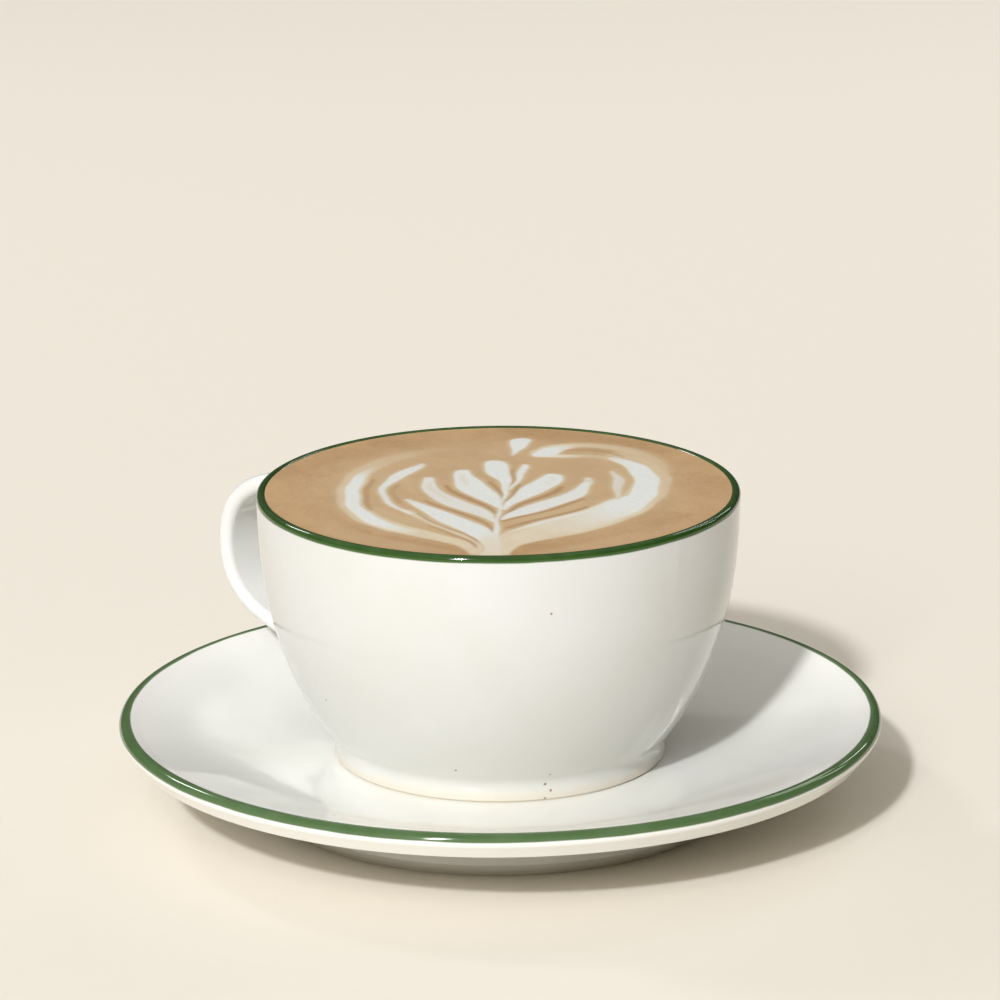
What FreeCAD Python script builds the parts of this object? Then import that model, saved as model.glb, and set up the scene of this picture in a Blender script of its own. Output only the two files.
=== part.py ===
import FreeCAD, Part
import math
import os

# A cappuccino in its glazed cup on a saucer, all in millimetres.
# The origin is on the table under the middle of the saucer, with +Z up and the handle along -X.

# Cup
cup_rim_radius = 49.0
cup_height = 55.6
cup_lip_round = 1.0              # radius of the full round over the lip
cup_foot_radius = 33.9
cup_foot_height = 3.9
cup_foot_edge = 0.45             # bevel at the bottom of the foot
cup_foot_width = 3.4
cup_foot_blend = 1.6             # how far the soft corner between the foot and the body reaches
cup_recess_depth = 2.0           # underside inside the foot
cup_flare_angle = 51.0           # degrees from level where the body leaves the foot
cup_flare_pull = 15.9            # how strongly the body follows that angle
cup_side_pull = 21.8             # how far below the lip the side stays upright
cup_floor_thickness = 4.6        # over the recess
cup_floor_margin = 13.9          # from the foot's edge in to where the flat floor ends
cup_floor_pull = 16.5            # how far the floor runs on level before the wall rises
cup_bore_pull = 24.0             # how far below the lip the bore stays upright

# Handle, a flat strap
handle_depth = 28.3              # from the rim out to the outside of the strap
handle_far_height = 30.7         # the outermost point, above the cup's base
handle_top_drop = 5.6            # top of the strap below the lip, where it leaves the rim
handle_root_height = 9.2         # underside of the strap where it runs into the body
handle_width = 13.0
handle_thickness = 3.5
handle_edge_round = 1.5
handle_root_blend = 1.5          # radius where the strap runs into the body
handle_top_sink = 5.0            # how deep inside the rim the strap starts
handle_low_sink = 1.1            # how far outside the foot's radius its lower end stops
handle_top_bow = 0.68            # fullness of the upper bend, 0 to 1
handle_low_bow = 0.82            # fullness of the lower bend, 0 to 1
handle_low_run = 22.9            # length over which the lower arm leaves the body
handle_low_angle = 9.0           # degrees upwards where it leaves the body
seam_tolerance = 0.01            # how close to the body an edge lies to be its seam with the strap

# Saucer
saucer_radius = 77.95            # outermost edge of the rim
saucer_crest = 19.25             # top of the rim above the table
saucer_edge_round = 1.6          # radius of the rounded rim
saucer_lip_lean = 54.0           # degrees from level of the rim's outer side below its round
saucer_lip_side = 3.1            # length of that side
saucer_well_height = 10.4        # flat well that the cup stands in
saucer_well_room = 3.1           # clearance round the cup's foot in the well
saucer_well_blend = 15.0         # how far the well runs on level before the brim rises
saucer_brim_rise = 21.0          # length over which the brim meets the crest in a straight slope
saucer_brim_slope = 19.0         # degrees at the crest
saucer_floor_thickness = 5.8     # under the well
saucer_ring_radius = 49.8        # outside of the foot ring
saucer_ring_height = 4.4
saucer_bevel_height = 3.0        # bevel round the bottom of the foot ring
saucer_bevel_width = 2.4
saucer_contact_width = 3.0       # flat face that touches the table
saucer_ring_lean = 1.8           # how far the ring's inner side leans inwards

# Drink
drink_drop = 0.35                # its surface below the top of the lip
drink_gap = 0.1                  # clearance to the cup's bore
milk_depth = 0.8                 # depth of the poured milk pattern
milk_turn = 44.0                 # degrees from the cup's +Y to the pattern's axis
milk_tip = 0.8                   # narrowest end of a stroke
milk_spread = 47.0               # radius of the surface that the strokes below are drawn on

# Strokes of the poured pattern, seen from above with the stem running up along +Y.
# Each is a list of (x, y, width) from the stem outwards.
rosetta_strokes = [
    # stem
    [(-0.8, -44.0, 5.0), (-0.3, -36.0, 3.4), (-0.1, -28.0, 2.4), (0.1, -18.0, 1.8), (0.6, -9.0, 1.4),
     (1.6, 0.0, 1.2)],
    # heart at the head of the stem
    [(1.4, -4.0, milk_tip), (1.3, 4.0, 2.2), (0.5, 10.0, 4.4), (-0.5, 14.5, 5.4), (-0.9, 19.0, 4.2)],
    [(2.4, -1.0, milk_tip), (3.8, 4.0, 1.2), (4.8, 9.0, 1.8), (5.4, 14.5, 2.0), (5.3, 17.8, 1.6)],
    # left petals, from the inner one to the outer one
    [(0.1, -15.0, milk_tip), (-0.9, -9.5, 2.8), (-2.4, -5.5, 4.8), (-4.1, -1.0, 6.4), (-5.8, 4.0, 5.6),
     (-7.0, 9.0, 4.6), (-7.4, 13.6, 3.0)],
    [(-0.3, -24.0, milk_tip), (-2.4, -18.0, 3.4), (-4.8, -14.2, 4.8), (-7.6, -10.8, 5.2),
     (-10.4, -7.2, 5.0), (-12.6, -3.0, 4.6), (-13.9, 2.0, 3.6), (-14.2, 7.6, 2.6)],
    [(-0.8, -40.0, 4.2), (-1.8, -34.5, 4.2), (-3.6, -29.0, 4.8), (-6.0, -24.6, 5.2), (-9.0, -20.8, 4.8),
     (-12.0, -17.0, 4.2), (-15.0, -12.6, 3.2), (-17.0, -9.0, 1.4)],
    [(-3.0, -41.0, 1.0), (-5.4, -33.4, 1.6), (-11.0, -26.2, 2.0), (-16.6, -18.2, 1.6), (-20.8, -11.0, 1.4),
     (-23.1, -3.0, 1.4), (-22.7, 5.0, 1.6), (-20.6, 10.0, 2.8), (-18.4, 14.6, 2.8), (-16.2, 18.9, 1.4)],
    # left wing
    [(-3.8, -43.0, 1.2), (-8.0, -37.0, 2.8), (-14.5, -31.8, 3.2), (-21.0, -27.0, 3.2), (-26.0, -20.5, 3.4),
     (-29.0, -11.5, 3.6), (-29.8, -2.0, 3.3), (-29.2, 6.5, 3.0), (-27.6, 12.5, 2.0)],
    # right petals
    [(1.0, -14.0, milk_tip), (2.2, -9.6, 2.2), (3.8, -5.6, 3.8), (5.6, -1.8, 5.0), (7.6, 2.0, 5.6),
     (9.6, 5.5, 5.2), (11.2, 9.5, 3.4)],
    [(0.3, -22.5, milk_tip), (1.6, -18.6, 2.4), (4.2, -14.8, 4.4), (7.5, -12.0, 5.4), (11.0, -9.0, 5.6),
     (14.3, -5.8, 5.2), (17.0, -2.2, 3.6), (18.3, 2.0, 3.0), (18.0, 6.8, 2.4)],
    # right wing, the leaf inside it and the loop that its tip trails
    [(0.6, -39.0, 3.0), (4.5, -33.5, 8.5), (9.5, -29.5, 9.6), (15.5, -25.6, 9.4), (20.5, -21.8, 8.6),
     (24.8, -17.5, 7.6), (27.8, -12.5, 6.4), (29.8, -6.0, 5.3), (30.3, 1.0, 5.0), (29.9, 8.0, 5.0),
     (28.4, 14.5, 4.6), (25.8, 19.2, 3.0), (23.6, 22.0, 1.4)],
    [(25.2, -11.0, milk_tip), (24.2, -3.0, 2.0), (24.2, 4.0, 2.6), (23.8, 9.5, 2.2), (23.1, 13.2, milk_tip)],
    [(24.2, 21.2, milk_tip), (20.5, 24.0, 1.2), (16.5, 25.6, 1.6), (13.0, 27.4, 4.0), (10.0, 28.2, 4.8)],
]
drop_stroke = [(3.2, 26.8, milk_tip), (3.9, 31.0, 2.2), (4.7, 34.6, 3.6), (5.0, 37.2, 4.0)]


def spot(r, z):
    """A point in the XZ plane."""
    return FreeCAD.Vector(r, 0, z)


def line(start, end):
    return Part.LineSegment(start, end).toShape()


def arc(start, middle, end):
    return Part.Arc(start, middle, end).toShape()


def bow(*poles):
    """A Bezier curve through its first and last pole."""
    curve = Part.BezierCurve()
    curve.setPoles(list(poles))
    return curve.toShape()


def round_point(centre, radius, degrees):
    """The point of a circle in the XZ plane at an angle up from +X."""
    angle = math.radians(degrees)
    return centre + spot(radius * math.cos(angle), radius * math.sin(angle))


def turned(edges):
    """The solid that a closed outline in the XZ plane sweeps around the Z axis."""
    return Part.Face(Part.Wire(edges)).revolve(spot(0, 0), FreeCAD.Vector(0, 0, 1), 360)


def drink_level():
    """Height of the drink's surface above the table."""
    return saucer_well_height + cup_height - drink_drop


def saucer():
    """A dished disc with a rounded rim, on a foot ring."""
    edge_centre = spot(saucer_radius - saucer_edge_round, saucer_crest - saucer_edge_round)
    crest = round_point(edge_centre, saucer_edge_round, 90)
    lip_side = round_point(edge_centre, saucer_edge_round, saucer_lip_lean - 90)
    lip_bottom = round_point(lip_side, -saucer_lip_side, saucer_lip_lean)
    well_edge = spot(cup_foot_radius + saucer_well_room, saucer_well_height)
    brim_angle = math.radians(saucer_brim_slope)
    brim_pole = crest - spot(math.cos(brim_angle), math.sin(brim_angle)) * saucer_brim_rise
    recess_height = saucer_well_height - saucer_floor_thickness
    ring_foot = spot(saucer_ring_radius, saucer_ring_height)
    bevel_top = spot(saucer_ring_radius, saucer_bevel_height)
    contact_outer = spot(saucer_ring_radius - saucer_bevel_width, 0)
    contact_inner = contact_outer - spot(saucer_contact_width, 0)
    recess_edge = spot(contact_inner.x - saucer_ring_lean, recess_height)
    return turned([
        line(spot(0, saucer_well_height), well_edge),
        bow(well_edge, well_edge + spot(saucer_well_blend, 0), brim_pole, crest),
        arc(crest, round_point(edge_centre, saucer_edge_round, 10), lip_side),
        line(lip_side, lip_bottom),
        line(lip_bottom, ring_foot),
        line(ring_foot, bevel_top),
        line(bevel_top, contact_outer),
        line(contact_outer, contact_inner),
        line(contact_inner, recess_edge),
        line(recess_edge, spot(0, recess_height)),
        line(spot(0, recess_height), spot(0, saucer_well_height)),
    ])


def cup_blank():
    """The cup's outside, filled up to the top of its lip."""
    base = saucer_well_height
    top = base + cup_height
    foot_inner_radius = cup_foot_radius - cup_foot_width
    foot_top = spot(cup_foot_radius, base + cup_foot_height)
    foot_side = foot_top - spot(0, cup_foot_blend)
    flare_start = round_point(foot_top, cup_foot_blend, cup_flare_angle)
    lip_centre = spot(cup_rim_radius - cup_lip_round, top - cup_lip_round)
    rim = round_point(lip_centre, cup_lip_round, 0)
    crest = round_point(lip_centre, cup_lip_round, 90)
    flare_pole = round_point(foot_top, cup_flare_pull, cup_flare_angle)
    return turned([
        line(spot(0, base + cup_recess_depth), spot(foot_inner_radius, base + cup_recess_depth)),
        line(spot(foot_inner_radius, base + cup_recess_depth), spot(foot_inner_radius, base)),
        line(spot(foot_inner_radius, base), spot(cup_foot_radius - cup_foot_edge, base)),
        line(spot(cup_foot_radius - cup_foot_edge, base), spot(cup_foot_radius, base + cup_foot_edge)),
        line(spot(cup_foot_radius, base + cup_foot_edge), foot_side),
        bow(foot_side, foot_top, flare_start),
        bow(flare_start, flare_pole, rim - spot(0, cup_side_pull), rim),
        arc(rim, round_point(lip_centre, cup_lip_round, 45), crest),
        line(crest, spot(0, top)),
        line(spot(0, top), spot(0, base + cup_recess_depth)),
    ])


def bore(inset):
    """The room inside the cup, made smaller all round by the inset."""
    top = saucer_well_height + cup_height
    floor = saucer_well_height + cup_recess_depth + cup_floor_thickness + inset
    floor_edge = spot(cup_foot_radius - cup_floor_margin - inset, floor)
    floor_pole = floor_edge + spot(cup_floor_pull, 0)
    lip_centre = spot(cup_rim_radius - cup_lip_round, top - cup_lip_round)
    lip_reach = cup_lip_round + inset
    lip_inside = round_point(lip_centre, lip_reach, 180)
    lip_crest = round_point(lip_centre, lip_reach, 90)
    return turned([
        line(spot(0, floor), floor_edge),
        bow(floor_edge, floor_pole, lip_inside - spot(0, cup_bore_pull), lip_inside),
        arc(lip_inside, round_point(lip_centre, lip_reach, 135), lip_crest),
        line(lip_crest, spot(0, lip_crest.z)),
        line(spot(0, lip_crest.z), spot(0, floor)),
    ])


def ear(inset):
    """The strap's outline from its upper root round to its lower one, moved inwards by the inset."""
    base = saucer_well_height
    top_root = spot(handle_top_sink - cup_rim_radius, base + cup_height - handle_top_drop - inset)
    far = spot(inset - cup_rim_radius - handle_depth, base + handle_far_height)
    low_root = spot(-cup_foot_radius - handle_low_sink, base + handle_root_height + inset)
    upper = bow(top_root,
                spot(top_root.x + handle_top_bow * (far.x - top_root.x), top_root.z),
                spot(far.x, far.z + handle_top_bow * (top_root.z - far.z)),
                far)
    lower = bow(far,
                spot(far.x, far.z + handle_low_bow * (low_root.z - far.z)),
                round_point(low_root, handle_low_run, 180 - handle_low_angle),
                low_root)
    return top_root, upper, lower, low_root


def handle():
    """A flat strap bent into an ear, with its two ends inside the cup's wall."""
    outer_top, outer_upper, outer_lower, outer_low = ear(0)
    inner_top, inner_upper, inner_lower, inner_low = ear(handle_thickness)
    side = Part.Face(Part.Wire([
        outer_upper, outer_lower, line(outer_low, inner_low), inner_lower, inner_upper,
        line(inner_top, outer_top),
    ]))
    side.translate(FreeCAD.Vector(0, -handle_width / 2, 0))
    strap = side.extrude(FreeCAD.Vector(0, handle_width, 0))
    long_edges = [edge for edge in strap.Edges if edge.Length > handle_width + handle_thickness]
    return strap.makeFillet(handle_edge_round, long_edges)


def is_handle_seam(edge, blank):
    """Whether an edge runs where the strap meets the outside of the body."""
    middle = edge.valueAt((edge.FirstParameter + edge.LastParameter) / 2)
    beside_strap = middle.x < 0 and abs(middle.y) < handle_width / 2 + handle_edge_round
    on_body = blank.Shells[0].distToShape(Part.Vertex(middle))[0] < seam_tolerance
    below_lip = cup_foot_height < middle.z - saucer_well_height < cup_height - cup_lip_round
    return beside_strap and on_body and below_lip and edge.Length < handle_width


def cup():
    """Body, foot and handle in one piece, hollowed by the bore."""
    blank = cup_blank()
    outside = blank.fuse(handle())
    seams = [edge for edge in outside.Edges if is_handle_seam(edge, blank)]
    blended = outside.makeFillet(handle_root_blend, seams)
    return blended.cut(bore(0)).removeSplitter().Solids[0]


def stroke_side(points, side):
    """One long edge of a stroke: its middle line moved sideways by half the width."""
    edge = []
    for index, (x, y, width) in enumerate(points):
        before = points[max(index - 1, 0)]
        after = points[min(index + 1, len(points) - 1)]
        along = FreeCAD.Vector(after[0] - before[0], after[1] - before[1], 0).normalize()
        across = FreeCAD.Vector(-along.y, along.x, 0)
        edge.append(FreeCAD.Vector(x, y, 0) + across * (side * width / 2))
    return edge


def smooth(points):
    """A smooth curve through points."""
    curve = Part.BSplineCurve()
    curve.interpolate(points)
    return curve.toShape()


def round_end(left, right, outwards):
    """A half circle that joins the two sides of a stroke at one end."""
    middle = (left + right) * 0.5
    bulge = FreeCAD.Vector(outwards[0], outwards[1], 0).normalize() * (left.distanceToPoint(right) / 2)
    return arc(left, middle + bulge, right)


def fitted(points):
    """A stroke's points, spread over the surface of this cup's drink."""
    spread = (cup_rim_radius - 2 * cup_lip_round) / milk_spread
    return [(x * spread, y * spread, width * spread) for x, y, width in points]


def stroke(drawn):
    """A poured stroke, as deep as the milk and reaching up to the drink's surface."""
    points = fitted(drawn)
    left = stroke_side(points, 1)
    right = stroke_side(points, -1)
    outwards = (points[-1][0] - points[-2][0], points[-1][1] - points[-2][1])
    backwards = (points[0][0] - points[1][0], points[0][1] - points[1][1])
    outline = Part.Wire([
        smooth(left),
        round_end(left[-1], right[-1], outwards),
        smooth(list(reversed(right))),
        round_end(right[0], left[0], backwards),
    ])
    solid = Part.Face(outline).extrude(FreeCAD.Vector(0, 0, milk_depth))
    solid.rotate(FreeCAD.Vector(0, 0, 0), FreeCAD.Vector(0, 0, 1), milk_turn)
    solid.translate(FreeCAD.Vector(0, 0, drink_level() - milk_depth))
    return solid


def rosetta():
    """The leaf pattern, whose strokes all run into the stem."""
    strokes = [stroke(points) for points in rosetta_strokes]
    return strokes[0].multiFuse(strokes[1:]).removeSplitter().Solids[0]


def drink(patterns):
    """Coffee and foam that fill the bore to just under the lip, cut round the milk pattern."""
    above = Part.makeCylinder(cup_rim_radius, cup_height, FreeCAD.Vector(0, 0, drink_level()))
    return bore(drink_gap).cut(above).cut(patterns).removeSplitter().Solids[0]


milk_rosetta = rosetta()
milk_drop = stroke(drop_stroke)
parts = {
    "saucer": saucer(),
    "cup": cup(),
    "drink": drink([milk_rosetta, milk_drop]),
    "milk_rosetta": milk_rosetta,
    "milk_drop": milk_drop,
}
os.makedirs("parts", exist_ok=True)
for name, shape in parts.items():
    shape.exportStep(f"parts/{name}.step")
    print(name, shape.ShapeType, "valid" if shape.isValid() else "broken", round(shape.Volume), "mm3")
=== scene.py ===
import bpy
import math
import numpy as np
from mathutils import Matrix, Vector


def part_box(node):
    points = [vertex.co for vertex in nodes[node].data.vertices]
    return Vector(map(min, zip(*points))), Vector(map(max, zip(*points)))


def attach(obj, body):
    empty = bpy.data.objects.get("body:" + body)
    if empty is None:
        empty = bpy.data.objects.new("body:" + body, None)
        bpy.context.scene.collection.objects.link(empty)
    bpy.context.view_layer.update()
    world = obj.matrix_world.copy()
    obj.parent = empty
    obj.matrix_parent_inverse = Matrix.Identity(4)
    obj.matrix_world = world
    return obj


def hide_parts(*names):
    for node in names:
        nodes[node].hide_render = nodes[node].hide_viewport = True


# A cappuccino in its glazed cup on a saucer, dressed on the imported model, in metres.
# The origin is on the table under the middle of the saucer, with +Z up and the handle along -X.

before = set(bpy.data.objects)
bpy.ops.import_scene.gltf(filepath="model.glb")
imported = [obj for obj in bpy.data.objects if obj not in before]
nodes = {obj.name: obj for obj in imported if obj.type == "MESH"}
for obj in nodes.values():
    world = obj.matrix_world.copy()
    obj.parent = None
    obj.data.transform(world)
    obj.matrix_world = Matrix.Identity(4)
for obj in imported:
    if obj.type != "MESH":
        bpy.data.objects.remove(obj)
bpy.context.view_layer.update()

MM = 0.001
SAUCER_RIM_RADIUS = 77.95 * MM
SAUCER_RIM_ROUND = 1.6 * MM
SAUCER_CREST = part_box("saucer")[1].z
SAUCER_WELL = 10.4 * MM
CUP_LIP_RADIUS = 48.0 * MM       # middle line of the lip
CUP_LIP_ROUND = 1.0 * MM
GLAZE_LIFT = 0.03 * MM           # how far the glaze stands proud of a rim's round
CUP_LINE_DROP = 1.4 * MM         # how far down the cup its green line reaches
SAUCER_LINE_REACH = 2.35 * MM    # how far in from the saucer's edge its green line reaches
SAUCER_LINE_DROP = 1.45 * MM     # and how far down its outer side
LINE_WANDER = 0.5 * MM           # unsteadiness of a line's edge
CLAY_AND_BOUNCE_RISE = 3.6 * MM             # how far up from the foot the bare clay shows, tinted with painted warm bounce light
CUP_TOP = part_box("cup")[1].z
DRINK_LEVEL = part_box("drink")[1].z
DRINK_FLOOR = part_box("drink")[0].z
FOAM_RADIUS = 47.36 * MM         # reaches just into the cup's wall, so that no gap shows
FOAM_DOME = 0.12 * MM            # how far the drink's middle stands up
FOAM_CLIMB = 0.1 * MM            # how far its edge climbs the wall
POUR_TURN = math.radians(44)     # from the cup's +Y to the axis of the poured pattern

# Colours, as sRGB bytes
# The cup's two glaze tones are the saucer's glaze painted darker, as painted shade that dims the cup's
# sides.
CUP_WHITE_PAINTED_DIM = (219, 219, 215)
CUP_SHADE_PAINTED_DIM = (215, 214, 207)
# The handle's glaze is painted lighter than the cup's, as painted light on its shaded inner face.
HANDLE_PAINTED_LIGHT = (224, 224, 220)
SAUCER_WHITE = (236, 236, 231)
SAUCER_SHADE = (232, 231, 223)
# The saucer's outer rim is painted lighter than its middle, as painted light.
SAUCER_RIM_PAINTED_LIGHT = (240, 239, 233)
# Bare clay at the feet, its cream partly painted warm light bounced up from the table
CLAY_AND_BOUNCE_TINT = (216, 200, 170)
LINE_DEEP = (34, 66, 16)
LINE_FULL = (60, 92, 38)
LINE_MIDDLE = (68, 96, 52)
LINE_THIN = (92, 115, 78)
IRON_SPOT = (112, 78, 50)
CREMA = (196, 160, 116)
CREMA_DARK = (178, 141, 99)
CREMA_PALE = (203, 176, 139)
CREAM_THIN = (208, 186, 150)
CREAM = (220, 205, 176)
MILK = (225, 227, 223)
POUR_LINE = (166, 129, 88)
TABLE = (232, 225, 212)
TABLE_GRAIN = (208, 200, 184)

# Camera
CAMERA_AZIMUTH = 44              # degrees from -Y round to +X
CAMERA_PITCH = 15.986            # degrees down from level
CAMERA_ROLL = -0.45
CAMERA_LOOK_RIGHT = 0.018
CAMERA_DISTANCE = 986.6 * MM     # level distance from the cup's axis
CAMERA_HEIGHT = 346.1 * MM
LENS = 182.4                     # millimetres, with SENSOR across the view
SENSOR = 36

# Light. Colours are linear, azimuths and elevations in degrees, and lengths in metres.
KEY_STRENGTH = 2.35
KEY_COLOUR = (0.99, 1.0, 1.04)
ROOM_STRENGTH = 0.31
ROOM_LEFT = (0.38, 0.38, 0.37, 1.0)
ROOM_RIGHT = (0.12, 0.115, 0.1, 1.0)
ROOM_HIGH = (1.95, 1.9, 1.77, 1.0)
KEY_PLACE = (24, 35)             # azimuth, elevation
WINDOW_DISTANCE = 1.3
# azimuth, elevation and width of the narrow windows on the right
RIGHT_WINDOWS = ((172, 30, 0.05), (181, 42, 0.07), (190, 26, 0.06), (199, 38, 0.05))


# The poured pattern, seen from above with its stem running up along +Y, on a surface 47 mm in radius.
# A stroke is a list of (x, y, width, strength), in millimetres and with the strength from 0 to 1.
halo_strokes = [
    # faint band that closes the left wing over the top
    [(-27.6, 12.0, 2.6, 0.4), (-26.4, 18.0, 4.4, 0.8), (-23.0, 22.8, 4.8, 0.9), (-19.0, 26.4, 4.6, 0.85),
     (-14.5, 29.2, 3.6, 0.6), (-9.5, 31.0, 2.0, 0.25)],
    # thinned milk between the left wing and its thread
    [(-24.5, -13.0, 1.5, 0.7), (-21.5, -19.5, 4.5, 0.7), (-17.0, -25.0, 7.0, 0.7),
     (-12.0, -29.5, 6.5, 0.7), (-7.5, -34.5, 4.5, 0.7), (-5.0, -40.0, 2.0, 0.7)],
    [(-25.2, 17.0, 2.0, 0.5), (-23.6, 12.0, 3.0, 0.5), (-24.6, 7.0, 2.0, 0.5)],
    # margin outside the two wings
    [(-6.5, -42.0, 3.0, 0.3), (-9.0, -38.0, 5.0, 0.3), (-14.0, -34.0, 5.6, 0.3), (-21.5, -28.0, 6.2, 0.3),
     (-27.2, -20.5, 6.0, 0.3), (-30.4, -10.0, 5.4, 0.3), (-30.8, 0.0, 5.4, 0.3), (-30.0, 8.0, 5.4, 0.3),
     (-28.2, 15.0, 4.6, 0.3)],
    [(9.0, -45.0, 3.0, 0.3), (18.0, -41.0, 5.0, 0.45), (28.0, -33.5, 5.0, 0.3), (36.0, -24.0, 4.0, 0.1)],
    [(-36.0, -22.0, 4.0, 0.2), (-29.0, -32.5, 6.0, 0.5), (-18.0, -40.5, 5.0, 0.5), (-9.0, -45.0, 3.0, 0.3)],
    [(19.0, 27.5, 2.0, 0.4), (24.5, 26.0, 5.0, 0.4), (28.8, 20.5, 6.6, 0.4), (31.2, 13.0, 7.0, 0.4),
     (32.0, 5.0, 6.8, 0.4), (31.4, -3.0, 6.8, 0.4), (28.8, -11.0, 8.4, 0.4)],
    # thinned milk between the second right petal and the right wing
    [(1.6, -24.6, 0.8, 0.7), (5.0, -22.0, 2.0, 0.7), (9.2, -19.0, 2.6, 0.7), (13.0, -15.4, 2.6, 0.7),
     (16.0, -11.6, 1.4, 0.7)],
    [(19.0, -10.0, 1.0, 0.7), (22.6, -9.5, 4.0, 0.7), (24.6, -5.0, 3.6, 0.7), (25.4, 2.0, 3.4, 0.7),
     (25.2, 9.0, 3.0, 0.7), (24.2, 14.5, 1.6, 0.7)],
    # the two strands of the loop that the right wing trails
    [(11.0, 31.4, 3.6, 0.9), (17.0, 33.6, 4.0, 0.9), (23.0, 31.8, 4.4, 0.9), (28.4, 27.4, 5.0, 0.8),
     (32.0, 21.0, 5.0, 0.8), (33.6, 12.0, 4.6, 0.7)],
    [(12.5, 25.2, 2.0, 0.75), (17.0, 24.6, 2.4, 0.75), (21.0, 23.4, 2.4, 0.75), (24.0, 21.0, 2.0, 0.75)],
    # curl inside the left thread
    [(-18.7, 8.6, 1.6, 0.8), (-18.8, 4.6, 1.4, 0.8), (-17.8, 0.6, 1.1, 0.8), (-16.8, -2.6, 0.6, 0.8)],
    [(0.6, 25.0, 1.4, 0.55), (-1.2, 28.5, 2.6, 0.55)],
]
cream_strokes = [
    # broad thinned end of the right wing
    [(0.6, -44.5, 3.4, 1), (1.6, -38.5, 5.4, 1), (4.8, -33.8, 8.6, 1), (9.8, -29.6, 10.8, 1),
     (15.4, -24.8, 11.6, 1), (20.8, -19.4, 11.4, 1), (25.2, -13.4, 10.0, 0.9), (29.0, -6.0, 8.4, 0.6),
     (31.2, 3.0, 7.6, 0.5), (31.0, 11.0, 7.2, 0.5), (28.6, 19.0, 6.0, 0.5), (24.8, 25.4, 4.2, 0.4)],
    # thread that runs beside the third left petal
    [(-3.3, -43.5, 0.9, 0.95), (-4.3, -37.5, 1.4, 0.95), (-7.0, -32.4, 1.9, 0.95),
     (-10.8, -27.0, 1.8, 0.95), (-15.4, -20.0, 1.8, 0.95), (-18.6, -15.5, 1.6, 0.95)],
    # foot of the left wing
    [(-5.0, -44.5, 1.4, 1), (-5.7, -41.5, 2.4, 1), (-7.8, -37.8, 3.2, 1), (-11.6, -34.2, 3.6, 1),
     (-15.9, -30.9, 4.2, 1), (-20.5, -27.3, 4.6, 1)],
    # the two strands of the loop that the right wing trails
    [(9.2, 27.6, 5.2, 0.8), (12.0, 31.2, 4.6, 0.9), (17.0, 33.2, 2.8, 0.65), (22.6, 31.6, 2.6, 0.5),
     (27.4, 28.0, 3.2, 0.4), (31.2, 22.0, 3.4, 0.35), (33.2, 15.0, 3.0, 0.3), (33.8, 6.0, 2.6, 0.3)],
    [(9.6, 25.4, 3.0, 0.9), (14.0, 24.7, 2.6, 0.8), (18.6, 24.8, 2.0, 0.4), (22.6, 23.2, 2.2, 0.4),
     (25.4, 20.2, 3.0, 0.6)],
    # soft edge of the left wing
    [(-20.5, -27.3, 5.0, 1), (-26.6, -19.0, 5.4, 0.7), (-29.8, -8.5, 5.0, 0.6), (-29.9, 2.0, 5.0, 0.6),
     (-28.6, 10.5, 4.8, 0.6), (-26.6, 16.5, 4.4, 0.4), (-23.0, 22.0, 4.0, 0.2), (-18.5, 26.2, 3.4, 0.12)],
]
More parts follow.
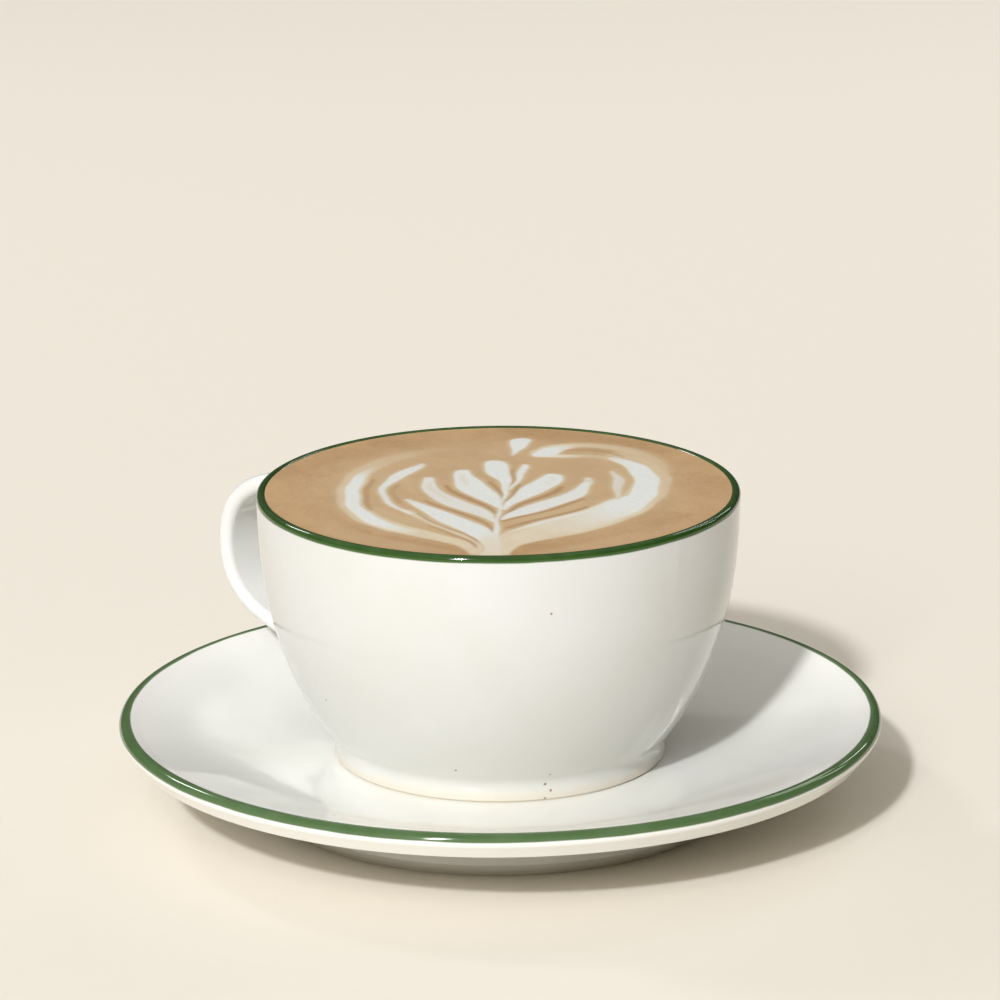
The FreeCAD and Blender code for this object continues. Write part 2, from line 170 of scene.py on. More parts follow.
milk_strokes = [
    # stem
    [(-1.4, -47.0, 4.2, 1), (-0.9, -41.0, 2.8, 1), (-0.6, -34.0, 1.7, 1), (-0.4, -26.0, 1.1, 0.9),
     (0.0, -18.0, 0.9, 0.8), (0.6, -10.0, 0.9, 0.8), (1.4, -3.0, 0.9, 1)],
    # heart at the head of the stem
    [(1.4, -4.0, 1.0, 1), (1.6, 2.0, 1.6, 1), (1.2, 7.0, 2.8, 1), (0.2, 12.0, 4.6, 1),
     (-0.5, 17.0, 5.0, 1), (-0.6, 19.5, 4.4, 1)],
    [(2.4, 0.0, 0.8, 0.95), (3.9, 6.0, 1.0, 0.95), (4.7, 11.0, 1.6, 0.95), (5.3, 16.0, 1.8, 0.95),
     (5.4, 18.0, 1.2, 0.95)],
    # left petals, from the inner one to the outer one
    [(0.6, -14.0, 1.0, 1), (-0.7, -9.5, 3.0, 1), (-2.6, -5.0, 5.2, 1), (-4.4, -0.5, 6.2, 1),
     (-6.1, 4.5, 5.7, 1), (-7.0, 9.5, 4.1, 1), (-7.2, 13.2, 3.0, 1)],
    [(-0.6, -23.5, 1.0, 0.85), (-2.2, -19.5, 2.6, 0.85), (-5.0, -15.0, 4.4, 0.85),
     (-8.6, -10.0, 4.5, 0.85), (-11.8, -5.0, 4.0, 0.85), (-13.4, 0.0, 3.5, 0.85), (-14.3, 5.0, 2.7, 0.85),
     (-14.2, 8.3, 2.1, 0.85)],
    [(-1.4, -42.0, 2.6, 1), (-2.2, -35.0, 4.0, 1), (-4.3, -30.0, 5.2, 1), (-7.2, -25.0, 5.4, 1),
     (-10.5, -20.0, 4.7, 1), (-13.6, -15.0, 3.6, 1), (-16.2, -10.5, 2.2, 0.9), (-18.4, -7.4, 1.0, 0.7)],
    # left thread and its leaf
    [(-17.6, -17.2, 0.9, 0.8), (-20.0, -13.4, 1.2, 0.85), (-22.0, -9.0, 1.3, 0.85),
     (-23.2, -4.0, 1.4, 0.85), (-23.4, 0.6, 1.5, 0.9), (-22.7, 4.6, 1.9, 0.95),
     (-20.9, 9.2, 2.8, 0.95), (-18.5, 13.8, 3.1, 0.95), (-16.4, 17.6, 2.0, 0.8), (-15.6, 19.4, 1.0, 0.5)],
    # left wing
    [(-16.5, -30.6, 2.0, 0.15), (-20.5, -27.3, 3.0, 0.6),
     (-23.6, -23.4, 3.5, 1), (-26.2, -19.0, 3.3, 1), (-28.2, -14.0, 3.0, 1), (-29.3, -8.5, 2.9, 1),
     (-29.5, -2.0, 2.9, 1), (-29.2, 4.0, 2.9, 1), (-28.3, 9.5, 2.6, 0.85), (-27.2, 13.0, 2.2, 0.45),
     (-26.0, 17.0, 1.6, 0.1)],
    # right petals
    [(1.1, -14.5, 1.0, 0.9), (2.6, -10.0, 2.2, 1), (4.8, -5.0, 3.8, 1), (7.5, 0.0, 5.5, 1),
     (9.9, 5.0, 5.6, 1), (11.3, 9.2, 3.8, 1)],
    [(0.9, -21.5, 1.0, 0.95), (2.8, -18.5, 2.9, 0.95), (6.3, -15.0, 4.4, 0.95), (11.0, -10.0, 4.5, 0.95),
     (14.9, -5.0, 4.1, 0.95), (17.0, -0.5, 2.9, 0.95), (17.9, 4.0, 1.9, 0.95)],
    [(17.3, 0.5, 2.4, 0.6), (18.1, 4.0, 2.2, 0.6), (18.2, 7.4, 1.6, 0.6)],
    # right wing, with bright edges where its foot is thinned
    [(22.6, -17.0, 5.0, 0.75), (26.2, -11.5, 5.6, 0.95), (28.8, -5.5, 5.6, 1), (30.0, 0.5, 5.2, 1),
     (30.2, 6.0, 5.2, 1), (29.8, 10.5, 5.0, 1), (28.5, 15.5, 4.4, 1), (26.4, 19.3, 3.4, 0.9),
     (24.0, 22.6, 2.2, 0.6)],
    [(1.6, -30.4, 0.8, 0.3), (6.2, -26.4, 1.3, 0.7), (11.2, -22.2, 1.4, 0.7), (16.0, -18.0, 1.6, 0.7),
     (20.0, -14.0, 2.0, 0.7), (23.4, -9.0, 2.2, 0.8)],
    [(5.2, -34.0, 5.6, 0.1), (10.0, -29.4, 8.2, 0.15), (15.6, -24.6, 9.2, 0.25),
     (20.8, -19.2, 9.0, 0.5), (25.0, -13.4, 7.8, 0.9), (27.8, -8.0, 6.4, 1)],
    # leaf inside the right wing
    [(23.7, -7.5, 0.5, 0.6), (24.1, -3.0, 1.4, 0.6), (24.4, 3.5, 2.4, 0.6), (24.2, 8.5, 1.9, 0.6),
     (23.5, 12.4, 0.7, 0.6)],
    # end of the trailed loop, and the drop
    [(8.6, 25.8, 3.2, 0.9), (10.3, 28.0, 4.8, 1), (11.8, 30.4, 3.8, 0.75), (14.8, 32.4, 2.4, 0.25)],
    [(9.0, 25.6, 2.6, 0.9), (13.0, 24.9, 2.0, 0.45), (17.0, 24.8, 1.4, 0.1)],
    [(3.1, 26.2, 0.6, 0.8), (3.6, 29.8, 1.7, 1), (4.4, 33.0, 3.4, 1), (4.8, 37.0, 4.4, 1)],
]
shadow_strokes = [
    # creamy foot of the stem
    [(-1.6, -47.0, 8.0, 0.9), (-1.5, -42.0, 6.0, 0.85), (-1.6, -37.0, 4.6, 0.65), (-1.2, -31.0, 3.0, 0.1)],
    # creamier middles of two petals
    [(-6.2, 2.5, 0.8, 0.5), (-7.2, 7.0, 1.5, 0.5), (-7.4, 11.0, 1.5, 0.5)],
    [(-9.5, -8.0, 0.8, 0.6), (-12.0, -3.6, 1.4, 0.6), (-13.6, 1.2, 1.4, 0.6), (-14.0, 5.0, 1.0, 0.6)],
    [(10.2, 3.0, 1.0, 0.35), (11.2, 8.0, 1.4, 0.35)],
]
seam_strokes = [
    # brown coffee drawn out between the petals of the left side
    [(-16.4, -17.2, 0.5, 1), (-13.4, -22.4, 0.7, 1), (-10.0, -27.8, 0.8, 1), (-6.2, -32.4, 0.8, 1),
     (-4.2, -36.8, 0.7, 1), (-3.0, -42.0, 0.6, 1), (-3.0, -46.0, 0.6, 1)],
    [(-13.8, -26.0, 0.4, 0.8), (-9.6, -31.2, 0.6, 0.8), (-6.4, -35.6, 0.7, 0.8), (-4.6, -41.0, 0.6, 0.8)],
    [(-14.8, -8.0, 0.6, 0.9), (-11.4, -12.7, 1.1, 0.9), (-7.7, -17.5, 1.0, 0.9), (-4.0, -22.0, 0.9, 0.9),
     (-2.0, -26.5, 0.7, 0.9), (-1.5, -31.0, 0.4, 0.9)],
    [(-10.6, 3.0, 0.8, 1), (-8.7, -2.8, 1.2, 1), (-5.9, -7.3, 1.2, 1), (-2.7, -11.8, 1.0, 1),
     (-0.9, -17.0, 0.6, 1)],
    [(-2.0, 5.0, 0.8, 0.9), (-0.2, 1.0, 0.9, 0.9), (0.6, -4.0, 0.6, 0.9), (0.6, -8.5, 0.4, 0.9)],
    [(2.9, 15.0, 0.6, 0.7), (3.1, 9.0, 0.6, 0.7), (2.6, 3.0, 0.6, 0.7)],
    # and between those of the right side
    [(4.4, 3.0, 0.8, 0.9), (3.2, -3.0, 0.9, 0.9), (1.7, -8.5, 0.6, 0.9)],
    [(13.0, 1.0, 1.0, 1), (11.4, -2.6, 1.4, 1), (7.9, -7.1, 1.3, 1), (4.1, -12.0, 1.0, 1),
     (1.6, -17.5, 0.7, 1), (0.5, -22.0, 0.5, 1)],
    [(1.0, -23.2, 0.6, 0.9), (4.2, -20.3, 0.9, 0.9), (8.4, -17.2, 1.0, 0.9), (13.0, -12.7, 1.0, 0.9),
     (17.0, -7.5, 0.9, 0.9)],
    [(1.2, -28.0, 0.6, 0.95), (5.5, -24.2, 1.0, 0.95), (10.0, -20.8, 1.1, 0.95), (14.0, -17.2, 1.1, 0.95),
     (17.6, -13.6, 0.9, 0.95)],
    [(14.5, 29.6, 0.9, 0.6), (19.0, 29.0, 1.3, 0.6), (23.0, 27.0, 1.3, 0.6), (26.0, 24.0, 0.8, 0.6)],
    [(-25.6, -14.0, 1.0, 0.6), (-26.6, -7.0, 1.2, 0.6), (-26.6, 1.0, 1.2, 0.6), (-25.6, 8.0, 1.0, 0.6)],
    [(-20.6, 3.0, 1.2, 0.5), (-21.4, -3.0, 1.4, 0.5), (-19.8, -9.5, 1.2, 0.5)],
]

# Dark specks fired into the glaze. Degrees run from -Y round to +X; the rest is in millimetres.
# On the cup, as (degrees, height, size): a cluster at the foot, then three stray ones
cup_specks = [(59, 14, 0.4), (61, 12.5, 0.35), (59, 11, 0.3), (60, 16.5, 0.25),
              (30, 18, 0.3), (56, 54, 0.3), (-10, 29.5, 0.3)]
# On the saucer, as (degrees, distance from the axis, size)
saucer_specks = [(10, 58.5, 0.45)]


def srgb(colour):
    """Linear colour with alpha from sRGB bytes."""
    linear = []
    for byte in colour:
        share = byte / 255
        linear.append(share / 12.92 if share <= 0.04045 else ((share + 0.055) / 1.055) ** 2.4)
    return (*linear, 1.0)


# ---- modelling ----

def pick(obj):
    """Selects one object alone and makes it the active one."""
    bpy.ops.object.select_all(action="DESELECT")
    obj.select_set(True)
    bpy.context.view_layer.objects.active = obj


def edit(obj):
    pick(obj)
    bpy.ops.object.mode_set(mode="EDIT")


def leave_edit():
    bpy.ops.object.mode_set(mode="OBJECT")


def apply_place(obj):
    """Puts the object's place into its mesh."""
    pick(obj)
    bpy.ops.object.transform_apply(location=True, rotation=True, scale=True)


def positions(mesh):
    """The places of a mesh's corners, one row each."""
    flat = np.empty(len(mesh.vertices) * 3)
    mesh.vertices.foreach_get("co", flat)
    return flat.reshape(-1, 3)


def set_positions(mesh, points):
    mesh.vertices.foreach_set("co", points.ravel())
    mesh.update()


def rounded_from_hexagon(points, radius):
    """Spreads a finely divided hexagon evenly over a disc."""
    sectors = np.arange(6) * math.pi / 3 + math.pi / 6 + math.pi / 2
    sides = np.stack([np.cos(sectors), np.sin(sectors)])
    reach = points[:, :2] @ sides
    nearest = reach.argmax(axis=1)
    depth = reach.max(axis=1)
    middle = sectors[nearest]
    along = -points[:, 0] * np.sin(middle) + points[:, 1] * np.cos(middle)
    half_side = np.maximum(depth * math.tan(math.pi / 6), 1e-12)
    angle = middle + along / half_side * math.pi / 6
    ring = depth / depth.max() * radius
    return np.stack([ring * np.cos(angle), ring * np.sin(angle)], axis=1)


def foam_surface():
    """The drink, with a fine surface that carries the poured pattern, a skirt down the bore and a floor."""
    rings_below = ((46.9 * MM, CUP_TOP - 1.2 * MM), (46.4 * MM, CUP_TOP - 14 * MM),
                   (43.5 * MM, CUP_TOP - 26 * MM), (36 * MM, DRINK_FLOOR + 9 * MM),
                   (25 * MM, DRINK_FLOOR + 1.2 * MM), (19 * MM, DRINK_FLOOR))
    bpy.ops.object.select_all(action="DESELECT")
    bpy.ops.mesh.primitive_circle_add(vertices=6, radius=FOAM_RADIUS, fill_type="TRIFAN",
                                      location=(0, 0, DRINK_LEVEL))
    foam = bpy.context.object
    foam.name = "foam_surface"
    apply_place(foam)
    edit(foam)
    bpy.ops.mesh.select_all(action="SELECT")
    bpy.ops.mesh.subdivide(number_cuts=12)
    bpy.ops.mesh.subdivide(number_cuts=12)
    leave_edit()
    points = positions(foam.data)
    points[:, :2] = rounded_from_hexagon(points, FOAM_RADIUS)
    reach = np.hypot(points[:, 0], points[:, 1]) / FOAM_RADIUS
    points[:, 2] = DRINK_LEVEL + FOAM_DOME * (1 - reach ** 2) + FOAM_CLIMB * np.exp((reach - 1) * 40)
    set_positions(foam.data, points)
    edit(foam)
    bpy.ops.mesh.select_all(action="SELECT")
    bpy.ops.mesh.region_to_loop()
    radius, height = FOAM_RADIUS, DRINK_LEVEL + FOAM_CLIMB
    for ring_radius, ring_height in rings_below:
        bpy.ops.mesh.extrude_edges_move(TRANSFORM_OT_translate={"value": (0, 0, ring_height - height)})
        shrink = ring_radius / radius
        bpy.ops.transform.resize(value=(shrink, shrink, 1), center_override=(0, 0, ring_height))
        radius, height = ring_radius, ring_height
    bpy.ops.mesh.edge_face_add()
    bpy.ops.mesh.select_all(action="SELECT")
    bpy.ops.mesh.normals_make_consistent(inside=False)
    leave_edit()
    bpy.ops.object.shade_smooth_by_angle(angle=math.radians(50))
    return foam


def on_round(centre, radius, degrees):
    """A point of an edge's round, as (distance from the axis, height), at an angle up from level."""
    angle = math.radians(degrees)
    return centre[0] + radius * math.cos(angle), centre[1] + radius * math.sin(angle)


def spun_skin(name, section):
    """A thin ring of glaze: a closed section of (distance from the axis, height) turned about the axis."""
    bpy.ops.object.select_all(action="DESELECT")
    bpy.ops.mesh.primitive_circle_add(vertices=len(section), radius=MM, location=(0, 0, 0))
    skin = bpy.context.object
    skin.name = name
    set_positions(skin.data, np.array([(reach, 0, height) for reach, height in section]))
    edit(skin)
    bpy.ops.mesh.select_all(action="SELECT")
    bpy.ops.mesh.spin(steps=288, angle=2 * math.pi, center=(0, 0, 0), axis=(0, 0, 1))
    bpy.ops.mesh.select_all(action="SELECT")
    bpy.ops.mesh.remove_doubles(threshold=0.002 * MM)
    bpy.ops.mesh.normals_make_consistent(inside=False)
    leave_edit()
    bpy.ops.object.shade_smooth_by_angle(angle=math.radians(60))
    return skin


def lip_glaze():
    """Smooth glaze over the cup's lip, that runs down into the wall on both sides."""
    centre = (CUP_LIP_RADIUS, CUP_TOP - CUP_LIP_ROUND)
    section = [on_round(centre, CUP_LIP_ROUND + GLAZE_LIFT, step * 7.5) for step in range(25)]
    section += [(centre[0] - 0.95 * MM, centre[1] - 1.0 * MM), (centre[0], centre[1] - 1.6 * MM),
                (centre[0] + 0.9 * MM, centre[1] - 2.0 * MM)]
    return spun_skin("lip_glaze", section)


def rim_glaze():
    """Smooth glaze over the saucer's rim, from its outer side up and a little way down the brim."""
    centre = (SAUCER_RIM_RADIUS - SAUCER_RIM_ROUND, SAUCER_CREST - SAUCER_RIM_ROUND)
    side_angle, brim_angle = -36, 109
    section = [on_round(centre, SAUCER_RIM_ROUND + GLAZE_LIFT, degrees)
               for degrees in range(side_angle, brim_angle + 1, 5)]
    brim_end = (centre[0] - 3.5 * MM, centre[1] + 0.36 * MM)
    side = on_round(section[0], 1.2 * MM, side_angle - 90)
    side_end = on_round(side, 0.06 * MM, side_angle + 180)
    section += [brim_end, (brim_end[0], brim_end[1] - 0.4 * MM),
                (centre[0] - 0.9 * MM, centre[1] - 1.0 * MM), side_end]
    return spun_skin("rim_glaze", section)


def smooth_line(points, step):
    """Evenly close points along a smooth line through the given (x, y, width) points."""
    line = np.array(points, float)
    padded = np.vstack([2 * line[0] - line[1], line, 2 * line[-1] - line[-2]])
    pieces = []
    for i in range(len(line) - 1):
        before, start, end, after = padded[i:i + 4]
        count = max(2, int(np.hypot(*(end - start)[:2]) / step))
        t = np.linspace(0, 1, count, endpoint=False)[:, None]
        pieces.append(0.5 * (2 * start + (end - before) * t
                             + (2 * before - 5 * start + 4 * end - after) * t ** 2
                             + (3 * start - before - 3 * end + after) * t ** 3))
    pieces.append(line[-1:])
    return np.vstack(pieces)


def ramp(value, low, high):
    """A smooth rise from 0 to 1 between two levels."""
    share = np.clip((value - low) / (high - low), 0, 1)
    return share * share * (3 - 2 * share)


def laid_by(spots, stroke, outside, inside):
    """How strongly a stroke covers each spot; its edge softens between two depths in millimetres."""
    line = smooth_line(stroke, 0.25)
    reach = line[:, 2].max() / 2 - outside
    low, high = line[:, :2].min(axis=0) - reach, line[:, :2].max(axis=0) + reach
    near = np.flatnonzero(((spots > low) & (spots < high)).all(axis=1))
    covered = np.zeros(len(near))
    for x, y, width, strength in line:
        depth = width / 2 - np.hypot(spots[near, 0] - x, spots[near, 1] - y)
        np.maximum(covered, strength * ramp(depth, outside, inside), out=covered)
    laid = np.zeros(len(spots))
    laid[near] = covered
    return laid


def write_attribute(mesh, name, values):
    attribute = mesh.attributes.new(name=name, type="FLOAT", domain="POINT")
    attribute.data.foreach_set("value", values.astype(np.float32))


def pour_pattern(foam):
    """Writes where milk, cream and seams lie on the drink's surface, one attribute for each layer."""
    points = positions(foam.data) / MM
    turn = -POUR_TURN
    x = points[:, 0] * math.cos(turn) - points[:, 1] * math.sin(turn)
    y = points[:, 0] * math.sin(turn) + points[:, 1] * math.cos(turn)
    x = x + 0.18 * np.sin(y * 0.55 + 1.3)
    y = y + 0.12 * np.sin(x * 0.45 + 0.4)
    spots = np.stack([x, y], axis=1)
    layers = (("halo", halo_strokes, -1.1, 1.0),
              ("cream", cream_strokes, -0.7, 0.5),
              ("milk", milk_strokes, -0.35, 0.45),
              ("rim", milk_strokes, -1.3, 0.1),
              ("shadow", shadow_strokes, -0.6, 0.6),
              ("seam", seam_strokes, -0.45, 0.35))
    for layer, strokes, outside, inside in layers:
        laid = np.zeros(len(spots))
        for stroke in strokes:
            laid = np.maximum(laid, laid_by(spots, stroke, outside, inside))
        write_attribute(foam.data, layer, laid)


# ---- materials ----

def give(tree, socket, value):
    """Joins a socket to another node's output, or sets its value."""
    if isinstance(value, bpy.types.NodeSocket):
        tree.links.new(value, socket)
    else:
        socket.default_value = value


def put(tree, kind, inputs=None, **settings):
    """A node with its settings, and its inputs set to values or joined to other nodes' outputs."""
    node = tree.nodes.new(kind)
    for name, value in settings.items():
        setattr(node, name, value)
    for name, value in (inputs or {}).items():
        give(tree, node.inputs[name], value)
    return node


def work(tree, operation, first, second):
    """The value of a Math node."""
    return put(tree, "ShaderNodeMath", {0: first, 1: second}, operation=operation).outputs[0]


def vector_work(tree, operation, *vectors):
    """The outputs of a Vector Math node, Vector and Value."""
    return put(tree, "ShaderNodeVectorMath", dict(enumerate(vectors)), operation=operation).outputs


def between(tree, value, low, high, low_value=0.0, high_value=1.0):
    """A smooth step of a value from one level to another."""
    levels = {"Value": value, "From Min": low, "From Max": high,
              "To Min": low_value, "To Max": high_value}
    return put(tree, "ShaderNodeMapRange", levels, interpolation_type="SMOOTHSTEP").outputs["Result"]


def tint(tree, share, first, second):
    """One colour laid over another by a share."""
    factor, colour_a, colour_b, colour_result = 0, 6, 7, 2
    mix = put(tree, "ShaderNodeMix", {factor: share, colour_a: first, colour_b: second}, data_type="RGBA")
    return mix.outputs[colour_result]


def noise(tree, where, scale, detail=3.0, roughness=0.5, distortion=0.0):
    """A noise value at object coordinates."""
    grain = {"Vector": where, "Scale": scale, "Detail": detail, "Roughness": roughness,
             "Distortion": distortion}
    return put(tree, "ShaderNodeTexNoise", grain).outputs["Fac"]


def new_group(name, inputs, outputs):
    """An empty shader node group with its named inputs and outputs."""
    group = bpy.data.node_groups.new(name, "ShaderNodeTree")
    for side, sockets in (("INPUT", inputs), ("OUTPUT", outputs)):
        for socket_name, socket_type in sockets:
            group.interface.new_socket(name=socket_name, in_out=side,
                                       socket_type="NodeSocket" + socket_type)
    start = group.nodes.new("NodeGroupInput")
    end = group.nodes.new("NodeGroupOutput")
    return group, start.outputs, end.inputs


def use(tree, group, inputs):
    """A group placed in a material with its own values."""
    return put(tree, "ShaderNodeGroup", inputs, node_tree=group).outputs


def glaze_group():
    """Poured white glaze: clouded tone and faint ripples."""
    group, given, result = new_group(
        "glaze_body",
        [("Tone", "Color"), ("Shade", "Color")],
        [("Color", "Color"), ("Roughness", "Float"), ("Height", "Float")])
    where = put(group, "ShaderNodeTexCoord").outputs["Object"]
    clouds = noise(group, where, 24.0, 4.0, 0.55)
    body = tint(group, between(group, clouds, 0.35, 0.7), given["Tone"], given["Shade"])
    group.links.new(body, result["Color"])
    fine = noise(group, where, 420.0, 2.0)
    wide = noise(group, where, 38.0, 2.0)
    group.links.new(between(group, wide, 0.3, 0.7, 0.06, 0.11), result["Roughness"])
    group.links.new(work(group, "ADD", wide, work(group, "MULTIPLY", fine, 0.06)), result["Height"])
    return group


def line_group():
    """A hand-banded line of green glaze, thinner and lighter where the brush ran out."""
    group, given, result = new_group(
        "banded_line",
        [("Inside", "Float"), ("Wander", "Float"), ("Deep", "Color"), ("Thin", "Color")],
        [("Mask", "Float"), ("Color", "Color")])
    where = put(group, "ShaderNodeTexCoord").outputs["Object"]
    wobble = work(group, "SUBTRACT", noise(group, where, 55.0, 4.0), 0.5)
    edge = work(group, "ADD", given["Inside"], work(group, "MULTIPLY", wobble, given["Wander"]))
    group.links.new(between(group, edge, -0.12 * MM, 0.22 * MM), result["Mask"])
    thick = between(group, edge, 0.1 * MM, 1.1 * MM)
    streak = noise(group, where, 130.0, 3.0, 0.6)
    body = work(group, "MULTIPLY", thick, between(group, streak, 0.25, 0.6, 0.55, 1.0))
    group.links.new(tint(group, body, given["Thin"], given["Deep"]), result["Color"])
    return group


def speck_group():
    """The share of a dark speck fired into the glaze where a line from inside the ware comes out."""
    group, given, result = new_group(
        "kiln_speck", [("Start", "Vector"), ("Along", "Vector"), ("Size", "Float")], [("Mask", "Float")])
    where = put(group, "ShaderNodeTexCoord").outputs["Object"]
    offset = vector_work(group, "SUBTRACT", where, given["Start"])["Vector"]
    aside = vector_work(group, "CROSS_PRODUCT", offset, given["Along"])["Vector"]
    away = vector_work(group, "LENGTH", aside)["Value"]
    ahead = vector_work(group, "DOT_PRODUCT", offset, given["Along"])["Value"]
    ragged = work(group, "SUBTRACT", noise(group, where, 2600.0, 2.0), 0.5)
    edge = work(group, "ADD", away, work(group, "MULTIPLY", ragged, given["Size"]))
    near = work(group, "MULTIPLY", given["Size"], 0.5)
    mask = work(group, "MULTIPLY", between(group, edge, given["Size"], near),
                work(group, "GREATER_THAN", ahead, 0.0))
    group.links.new(mask, result["Mask"])
    return group


def radius_and_height(tree):
    """Distance from the piece's upright axis, and height, at object coordinates."""
    where = put(tree, "ShaderNodeTexCoord").outputs["Object"]
    axes = put(tree, "ShaderNodeSeparateXYZ", {"Vector": where}).outputs
    flat = put(tree, "ShaderNodeCombineXYZ", {"X": axes["X"], "Y": axes["Y"]}).outputs["Vector"]
    radius = vector_work(tree, "LENGTH", flat)["Value"]
    return where, radius, axes["Z"]


def new_material(name):
    """A new material, with its tree and its shader."""
    material = bpy.data.materials.new(name)
    material.use_nodes = True
    shader = material.node_tree.nodes["Principled BSDF"]
    return material, material.node_tree, shader


def bump(tree, height, distance, strength=1.0):
    """The normal of a surface raised by a height from 0 to 1."""
    raised = {"Height": height, "Distance": distance, "Strength": strength}
    return put(tree, "ShaderNodeBump", raised).outputs["Normal"]


def glazed_ware(name, groups, tones, outer_start, inside_line, line_colours, foot_height, specks):
    """White glaze with a green line and a few specks. The line's function takes radius and height.
    The last of the three tones, a lighter copy of the glaze as painted light, is used beyond the outer
    start, a pair of radii."""
    material, tree, shader = new_material(name)
    _, radius, height = radius_and_height(tree)
    tone, shade, outer_painted_light = (srgb(colour) for colour in tones)
    deep, thin = (srgb(colour) for colour in line_colours)
    body = use(tree, groups["glaze"], {"Tone": tone, "Shade": shade})
    line = use(tree, groups["line"], {"Inside": inside_line(tree, radius, height), "Wander": LINE_WANDER,
                                      "Deep": deep, "Thin": thin})
    colour = tint(tree, between(tree, radius, *outer_start), body["Color"], outer_painted_light)
    # Bare clay at the foot, tinted cream partly as painted warm bounce light from the table.
    clay_and_bounce = between(tree, height, foot_height + CLAY_AND_BOUNCE_RISE, foot_height)
    colour = tint(tree, work(tree, "MULTIPLY", clay_and_bounce, 0.5), colour, srgb(CLAY_AND_BOUNCE_TINT))
    for start, along, size in specks:
        speck = use(tree, groups["speck"], {"Start": start, "Along": along, "Size": size * MM})
        colour = tint(tree, work(tree, "MULTIPLY", speck["Mask"], 0.8), colour, srgb(IRON_SPOT))
    colour = tint(tree, line["Mask"], colour, line["Color"])
    tree.links.new(colour, shader.inputs["Base Color"])
    tree.links.new(work(tree, "ADD", body["Roughness"], work(tree, "MULTIPLY", clay_and_bounce, 0.2)),
                   shader.inputs["Roughness"])
    raised = work(tree, "ADD", body["Height"], work(tree, "MULTIPLY", line["Mask"], 0.12))
    tree.links.new(bump(tree, raised, 0.1 * MM), shader.inputs["Normal"])
    return material


def cup_speck_lines():
    """A level line out through each speck on the cup, with the speck's size."""
    return [((0, 0, height * MM), from_above(degrees, 0, 1), size) for degrees, height, size in cup_specks]


def saucer_speck_lines():
    """An upright line through each speck on the saucer's top, with the speck's size."""
    level = Vector((0, 0, SAUCER_WELL))
    return [(from_above(degrees, 0, reach * MM) + level, (0, 0, 1), size)
            for degrees, reach, size in saucer_specks]


def cup_line(tree, radius, height):
    """How far inside its green line a place on the cup lies."""
    return work(tree, "SUBTRACT", height, CUP_TOP - CUP_LINE_DROP)


def saucer_line(tree, radius, height):
    """How far inside its green line a place on the saucer lies."""
    outside = work(tree, "SUBTRACT", radius, SAUCER_RIM_RADIUS - SAUCER_LINE_REACH)
    above = work(tree, "SUBTRACT", height, SAUCER_CREST - SAUCER_LINE_DROP)
    return work(tree, "MINIMUM", outside, above)


def foam_material():
    """Fine milk foam stained by coffee, with the poured milk read from the mesh."""
    material, tree, shader = new_material("foam")
    where, radius, _ = radius_and_height(tree)
    laid = {name: put(tree, "ShaderNodeAttribute", attribute_name=name).outputs["Fac"]
            for name in ("halo", "cream", "milk", "rim", "shadow", "seam")}
    clouds = noise(tree, where, 55.0, 4.0, 0.6, 0.5)
    crema = tint(tree, between(tree, clouds, 0.3, 0.7), srgb(CREMA_DARK), srgb(CREMA))
    crema = tint(tree, between(tree, radius, 43 * MM, 30 * MM, 0.0, 0.5), crema, srgb(CREMA_PALE))
    fine = noise(tree, where, 1100.0, 3.0, 0.65)
    crema = tint(tree, between(tree, fine, 0.4, 0.8, 0.0, 0.3), crema, srgb(CREMA_PALE))
    grain = between(tree, fine, 0.2, 0.8, 0.9, 1.0)
    patches = between(tree, noise(tree, where, 140.0, 3.0, 0.6, 0.3), 0.25, 0.65, 0.8, 1.0)
    colour = tint(tree, work(tree, "MULTIPLY", laid["halo"], 0.85), crema, srgb(CREMA_PALE))
    colour = tint(tree, work(tree, "MULTIPLY", laid["rim"], 0.8), colour, srgb(CREAM_THIN))
    colour = tint(tree, work(tree, "MULTIPLY", laid["cream"], patches), colour, srgb(CREAM))
    colour = tint(tree, work(tree, "MULTIPLY", laid["seam"], 0.7), colour, srgb(POUR_LINE))
    colour = tint(tree, work(tree, "MULTIPLY", laid["milk"], grain), colour, srgb(MILK))
    colour = tint(tree, work(tree, "MULTIPLY", laid["shadow"], 0.8), colour, srgb(CREAM))
    tree.links.new(colour, shader.inputs["Base Color"])
    tree.links.new(between(tree, fine, 0.2, 0.8, 0.38, 0.5), shader.inputs["Roughness"])
    bubbles = put(tree, "ShaderNodeTexVoronoi", {"Vector": where, "Scale": 1400.0}).outputs["Distance"]
    raised = work(tree, "ADD", work(tree, "MULTIPLY", laid["milk"], 0.5),
                  work(tree, "MULTIPLY", bubbles, 0.2))
    tree.links.new(bump(tree, raised, 0.15 * MM, 0.6), shader.inputs["Normal"])
    return material


def table_material():
    """Smooth pale paper under the saucer."""
    material, tree, shader = new_material("pale_table")
    where = put(tree, "ShaderNodeTexCoord").outputs["Object"]
    grain = noise(tree, where, 160.0, 3.0)
    tree.links.new(tint(tree, work(tree, "MULTIPLY", grain, 0.06), srgb(TABLE), srgb(TABLE_GRAIN)),
                   shader.inputs["Base Color"])
    shader.inputs["Roughness"].default_value = 0.85
    shader.inputs["Specular IOR Level"].default_value = 0.15
    return material


# ---- stage, light and camera ----

def from_above(azimuth, elevation, distance):
    """A place round the cup; azimuth 0 is on -Y and 90 on +X."""
    turn, rise = math.radians(azimuth), math.radians(elevation)
    return Vector((math.sin(turn) * math.cos(rise), -math.cos(turn) * math.cos(rise),
                   math.sin(rise))) * distance


def table_top():
    """A plain pale table, 12 m across so that its edge never shows."""
    bpy.ops.object.select_all(action="DESELECT")
    bpy.ops.mesh.primitive_plane_add(size=12)
    table = bpy.context.object
    table.name = "table_top"
    edit(table)
    bpy.ops.mesh.subdivide(number_cuts=3)
    leave_edit()
    table.data.materials.append(table_material())


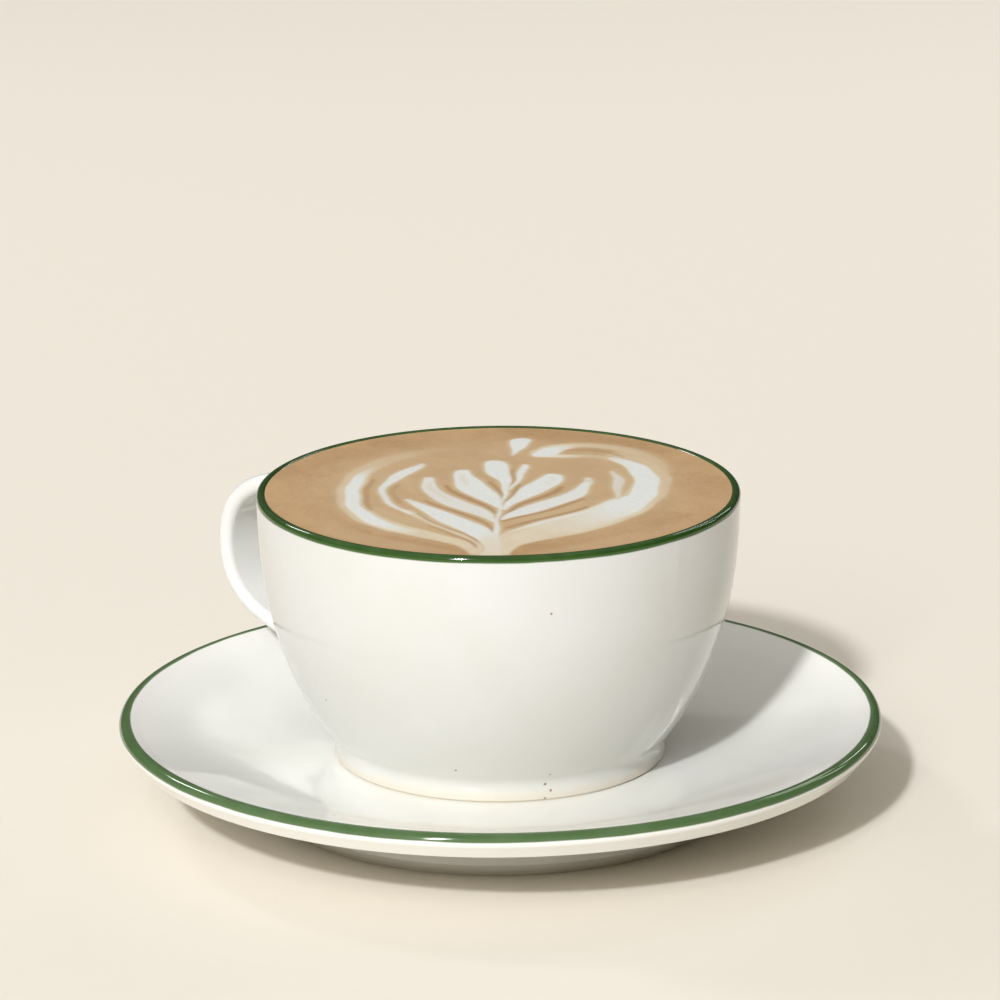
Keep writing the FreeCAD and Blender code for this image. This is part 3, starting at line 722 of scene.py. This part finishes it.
def window_light(name, azimuth, elevation, width, height, power):
    """A flat light that faces the cup."""
    place = from_above(azimuth, elevation, WINDOW_DISTANCE)
    bpy.ops.object.light_add(type="AREA", location=place)
    window = bpy.context.object
    window.name = name
    window.rotation_euler = place.to_track_quat("Z", "Y").to_euler()
    window.data.shape = "RECTANGLE"
    window.data.size = width
    window.data.size_y = height
    window.data.energy = power


def room_light():
    """Soft light from all round, strongest from above and weakest low on the right."""
    world = bpy.data.worlds.new("soft_room")
    world.use_nodes = True
    tree = world.node_tree
    towards = put(tree, "ShaderNodeTexCoord").outputs["Generated"]
    left = tuple(from_above(-46, 0, 1))
    side = vector_work(tree, "DOT_PRODUCT", towards, left)["Value"]
    low = tint(tree, between(tree, side, -0.9, 0.7), ROOM_RIGHT, ROOM_LEFT)
    high = tuple(from_above(-20, 76, 1))
    rise = vector_work(tree, "DOT_PRODUCT", towards, high)["Value"]
    colour = tint(tree, between(tree, rise, 0.2, 0.95), low, ROOM_HIGH)
    tree.links.new(colour, tree.nodes["Background"].inputs["Color"])
    tree.nodes["Background"].inputs["Strength"].default_value = ROOM_STRENGTH
    bpy.context.scene.world = world


def lights():
    """One sun, the windows that the glaze mirrors, and the room."""
    place = from_above(*KEY_PLACE, 2)
    bpy.ops.object.light_add(type="SUN", location=place)
    key = bpy.context.object
    key.name = "key_light"
    key.rotation_euler = place.to_track_quat("Z", "Y").to_euler()
    key.data.energy = KEY_STRENGTH
    key.data.angle = math.radians(3.5)
    key.data.color = KEY_COLOUR
    window_light("left_window", -91, 38, 0.13, 0.22, 1.8)
    window_light("tall_window", *KEY_PLACE, 0.1, 0.68, 4.3)
    for number, (azimuth, elevation, width) in enumerate(RIGHT_WINDOWS):
        window_light(f"right_window_{number}", azimuth, elevation, width, 0.25, 0.4)
    room_light()


def camera():
    """A long lens from the front right of the cup, so that the handle is on the left."""
    place = from_above(CAMERA_AZIMUTH, 0, CAMERA_DISTANCE) + Vector((0, 0, CAMERA_HEIGHT))
    bpy.ops.object.camera_add(location=place)
    shot = bpy.context.object
    shot.rotation_euler = (Matrix.Rotation(math.radians(CAMERA_AZIMUTH - CAMERA_LOOK_RIGHT), 3, "Z")
                           @ Matrix.Rotation(math.radians(90 - CAMERA_PITCH), 3, "X")
                           @ Matrix.Rotation(math.radians(CAMERA_ROLL), 3, "Z")).to_euler()
    shot.data.sensor_width = SENSOR
    shot.data.lens = LENS
    shot.data.clip_end = 30
    bpy.context.scene.camera = shot


bpy.context.scene.view_settings.view_transform = "Standard"
camera()
lights()
table_top()

groups = {"glaze": glaze_group(), "line": line_group(), "speck": speck_group()}
# The third tone of each piece is its glaze painted lighter, as painted light on the cup's handle and the
# saucer's rim; the cup's first two tones are painted shade.
finishes = {
    "cup": ((CUP_WHITE_PAINTED_DIM, CUP_SHADE_PAINTED_DIM, HANDLE_PAINTED_LIGHT), (49.5 * MM, 54 * MM), cup_line,
            (LINE_DEEP, LINE_FULL), SAUCER_WELL, cup_speck_lines()),
    "saucer": ((SAUCER_WHITE, SAUCER_SHADE, SAUCER_RIM_PAINTED_LIGHT), (66 * MM, 74 * MM), saucer_line,
               (LINE_MIDDLE, LINE_THIN), 0.0, saucer_speck_lines())}
for node_name, finish in finishes.items():
    piece = nodes[node_name]
    piece.data.materials.clear()
    piece.data.materials.append(glazed_ware(node_name + "_glaze", groups, *finish))

for skin, node_name in ((lip_glaze(), "cup"), (rim_glaze(), "saucer")):
    skin.data.materials.append(nodes[node_name].data.materials[0])
    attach(skin, "root")

foam = foam_surface()
pour_pattern(foam)
foam.data.materials.append(foam_material())
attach(foam, "root")
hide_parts("drink", "milk_rosetta", "milk_drop")
